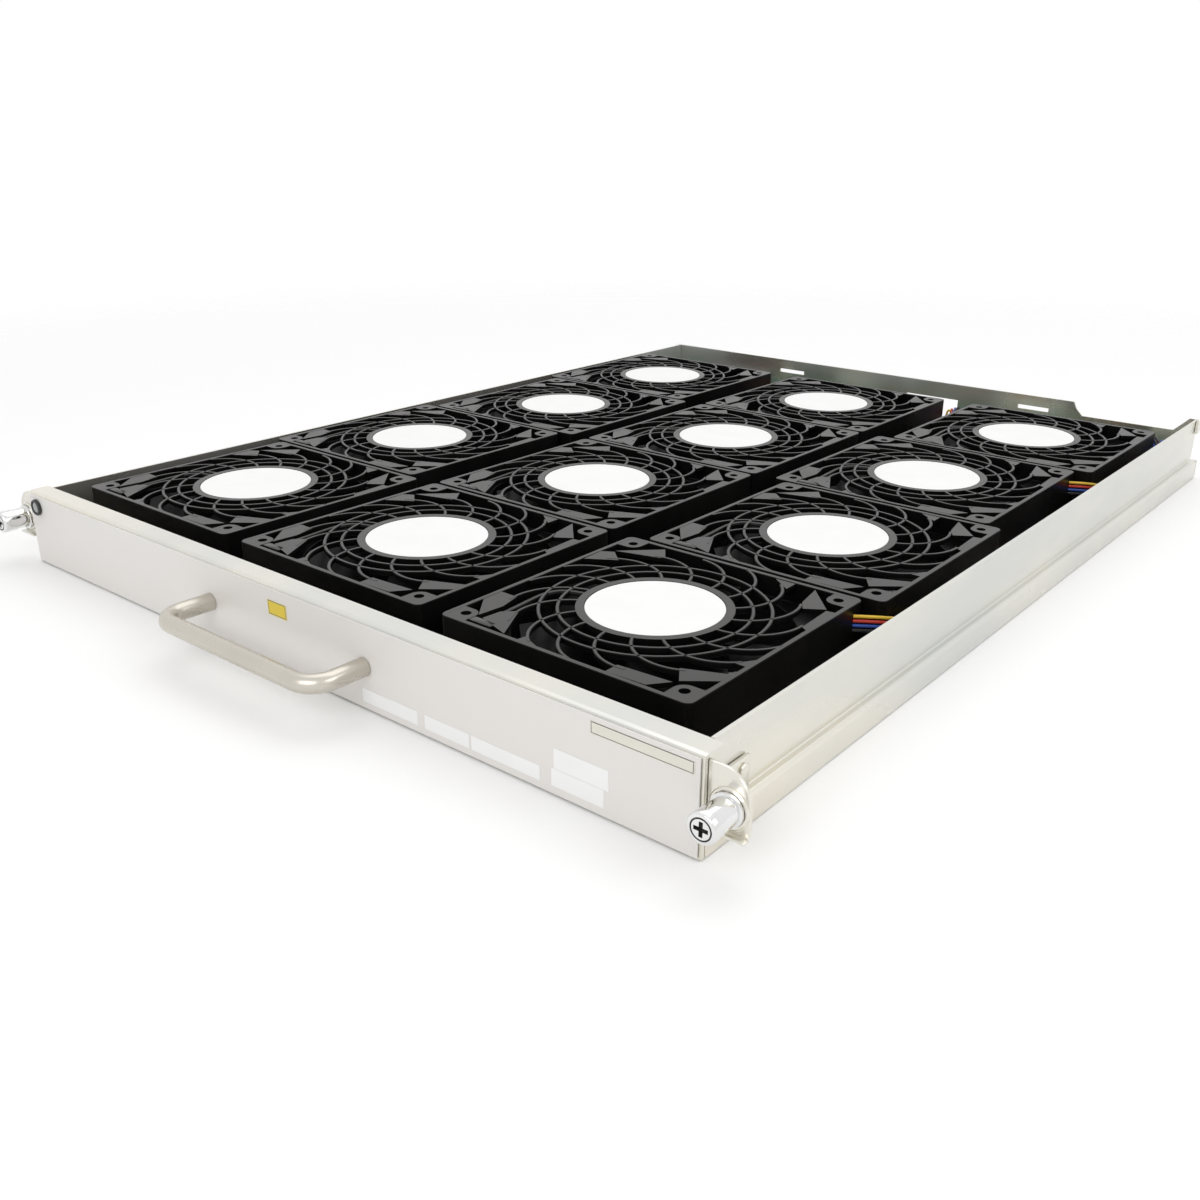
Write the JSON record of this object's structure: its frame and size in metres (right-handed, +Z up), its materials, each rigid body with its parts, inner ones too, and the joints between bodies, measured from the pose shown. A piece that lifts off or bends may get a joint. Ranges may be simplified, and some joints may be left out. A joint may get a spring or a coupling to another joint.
{
  "type": "chassis fan tray",
  "caption": "Pull-out fan tray: stepped sheet-metal tray with guarded axial fans, bar handle, captive screws and a rear backplane connector.",
  "frame": {"origin": "underside of the tray floor, midway across it, on the web between the second and third fan rows", "axes": "+X right seen from the front, +Y to the rear connector, +Z up through the fans"},
  "size_m": [0.459, 0.5967, 0.0398],
  "materials": {
    "sheet_steel": "zinc plated, satin",
    "front_film": "matt facing",
    "satin_nickel": "satin nickel",
    "chrome": "bright",
    "screw_steel": "plain steel",
    "fan_plastic": "moulded, satin black",
    "rotor_plastic": "moulded, satin black",
    "green_board": "solder resist",
    "white_nylon": "natural nylon",
    "black_moulding": "moulded black",
    "wire_sleeve": "insulated wires"
  },
  "bodies": {
    "tray": {"tray_floor": "sheet_steel", "side_rail_left": "sheet_steel", "side_rail_right": "sheet_steel", "front_panel": "sheet_steel", "front_overlay": "front_film", "rear_panel": "sheet_steel", "handle": "satin_nickel", "handle_screw_left": "screw_steel", "handle_screw_right": "screw_steel", "ear_left": "sheet_steel", "ear_right": "sheet_steel", "ferrule_left": "chrome", "ferrule_right": "chrome", "status_lamp": "black_moulding", "control_board": "green_board", "choke": "black_moulding", "backplane_connector": "black_moulding", "lamp_plug": "white_nylon", "fan_frame_r1c1": "fan_plastic", "fan_frame_r1c2": "fan_plastic", "fan_frame_r1c3": "fan_plastic", "fan_frame_r2c1": "fan_plastic", "fan_frame_r2c2": "fan_plastic", "fan_frame_r2c3": "fan_plastic", "fan_frame_r3c1": "fan_plastic", "fan_frame_r3c2": "fan_plastic", "fan_frame_r3c3": "fan_plastic", "fan_frame_r4c1": "fan_plastic", "fan_frame_r4c2": "fan_plastic", "fan_frame_r4c3": "fan_plastic", "fan_plug_01": "white_nylon", "fan_plug_02": "white_nylon", "fan_plug_03": "white_nylon", "fan_plug_04": "white_nylon", "fan_plug_05": "white_nylon", "fan_plug_06": "white_nylon", "fan_plug_07": "white_nylon", "fan_plug_08": "white_nylon", "fan_plug_09": "white_nylon", "fan_plug_10": "white_nylon", "wire_loom_left": "wire_sleeve", "wire_loom_middle_left": "wire_sleeve", "wire_loom_middle_right": "wire_sleeve", "wire_loom_right": "wire_sleeve"},
    "captive_screw_left": {"captive_screw_left": "chrome"},
    "captive_screw_right": {"captive_screw_right": "chrome"},
    "rotor_r1c1": {"rotor_r1c1": "rotor_plastic"},
    "rotor_r1c2": {"rotor_r1c2": "rotor_plastic"},
    "rotor_r1c3": {"rotor_r1c3": "rotor_plastic"},
    "rotor_r2c1": {"rotor_r2c1": "rotor_plastic"},
    "rotor_r2c2": {"rotor_r2c2": "rotor_plastic"},
    "rotor_r2c3": {"rotor_r2c3": "rotor_plastic"},
    "rotor_r3c1": {"rotor_r3c1": "rotor_plastic"},
    "rotor_r3c2": {"rotor_r3c2": "rotor_plastic"},
    "rotor_r3c3": {"rotor_r3c3": "rotor_plastic"},
    "rotor_r4c1": {"rotor_r4c1": "rotor_plastic"},
    "rotor_r4c2": {"rotor_r4c2": "rotor_plastic"},
    "rotor_r4c3": {"rotor_r4c3": "rotor_plastic"},
    "screw_clip_left": {"screw_clip_left": "screw_steel"},
    "screw_clip_right": {"screw_clip_right": "screw_steel"}
  },
  "joints": [
    {"name": "rotor_r1c1_spin", "type": "hinge", "parent": "tray", "child": "rotor_r1c1", "pos_m": [-0.132, -0.183, 0.0368], "axis": [0, 0, 1], "continuous": true},
    {"name": "rotor_r1c2_spin", "type": "hinge", "parent": "tray", "child": "rotor_r1c2", "pos_m": [0, -0.183, 0.0368], "axis": [0, 0, 1], "continuous": true},
    {"name": "rotor_r1c3_spin", "type": "hinge", "parent": "tray", "child": "rotor_r1c3", "pos_m": [0.132, -0.183, 0.0368], "axis": [0, 0, 1], "continuous": true},
    {"name": "rotor_r2c1_spin", "type": "hinge", "parent": "tray", "child": "rotor_r2c1", "pos_m": [-0.14, -0.061, 0.0368], "axis": [0, 0, 1], "continuous": true},
    {"name": "rotor_r2c2_spin", "type": "hinge", "parent": "tray", "child": "rotor_r2c2", "pos_m": [0, -0.061, 0.0368], "axis": [0, 0, 1], "continuous": true},
    {"name": "rotor_r2c3_spin", "type": "hinge", "parent": "tray", "child": "rotor_r2c3", "pos_m": [0.14, -0.061, 0.0368], "axis": [0, 0, 1], "continuous": true},
    {"name": "rotor_r3c1_spin", "type": "hinge", "parent": "tray", "child": "rotor_r3c1", "pos_m": [-0.132, 0.061, 0.0368], "axis": [0, 0, 1], "continuous": true},
    {"name": "rotor_r3c2_spin", "type": "hinge", "parent": "tray", "child": "rotor_r3c2", "pos_m": [0, 0.061, 0.0368], "axis": [0, 0, 1], "continuous": true},
    {"name": "rotor_r3c3_spin", "type": "hinge", "parent": "tray", "child": "rotor_r3c3", "pos_m": [0.132, 0.061, 0.0368], "axis": [0, 0, 1], "continuous": true},
    {"name": "rotor_r4c1_spin", "type": "hinge", "parent": "tray", "child": "rotor_r4c1", "pos_m": [-0.14, 0.183, 0.0368], "axis": [0, 0, 1], "continuous": true},
    {"name": "rotor_r4c2_spin", "type": "hinge", "parent": "tray", "child": "rotor_r4c2", "pos_m": [0, 0.183, 0.0368], "axis": [0, 0, 1], "continuous": true},
    {"name": "rotor_r4c3_spin", "type": "hinge", "parent": "tray", "child": "rotor_r4c3", "pos_m": [0.14, 0.183, 0.0368], "axis": [0, 0, 1], "continuous": true},
    {"name": "screw_left_push", "type": "slide", "parent": "tray", "child": "screw_clip_left", "axis": [0, 1, 0], "range_m": [0, 0.003], "stiffness_N_per_m": 200},
    {"name": "screw_left_turn", "type": "hinge", "parent": "screw_clip_left", "child": "captive_screw_left", "pos_m": [-0.222, -0.27, 0.0222], "axis": [0, 1, 0], "continuous": true},
    {"name": "screw_right_push", "type": "slide", "parent": "tray", "child": "screw_clip_right", "axis": [0, 1, 0], "range_m": [0, 0.003], "stiffness_N_per_m": 200},
    {"name": "screw_right_turn", "type": "hinge", "parent": "screw_clip_right", "child": "captive_screw_right", "pos_m": [0.222, -0.27, 0.0222], "axis": [0, 1, 0], "continuous": true}
  ]
}
